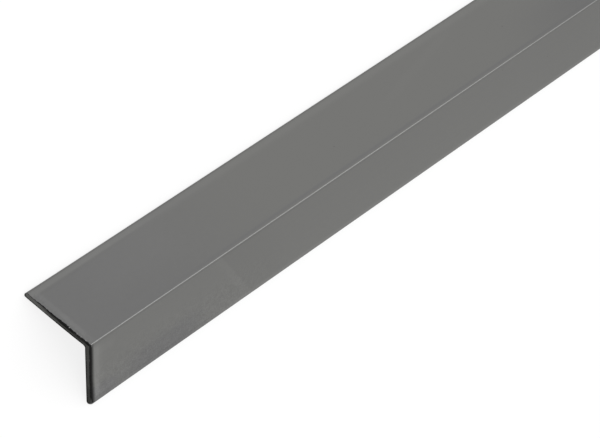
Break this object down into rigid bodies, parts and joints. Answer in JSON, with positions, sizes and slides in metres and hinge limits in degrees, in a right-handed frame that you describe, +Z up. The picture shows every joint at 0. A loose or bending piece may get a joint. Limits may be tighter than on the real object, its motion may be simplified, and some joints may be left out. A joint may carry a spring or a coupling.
{
  "type": "steel angle section",
  "caption": "Equal-leg bare steel angle bar, L-shaped in section and cut off square, used as framing stock, edge protection or a corner brace.",
  "frame": {"origin": "floor level, below the heel, at the middle of the bar's length", "axes": "+X along the bar, +Z up; the bar rests on both toes with its heel on top, the back leg on the +Y side and the front leg on the -Y side"},
  "size_m": [1, 0.034, 0.0188],
  "materials": {
    "bare_steel": "satin"
  },
  "bodies": {
    "root": {"angle_section": "bare_steel"}
  },
  "joints": []
}
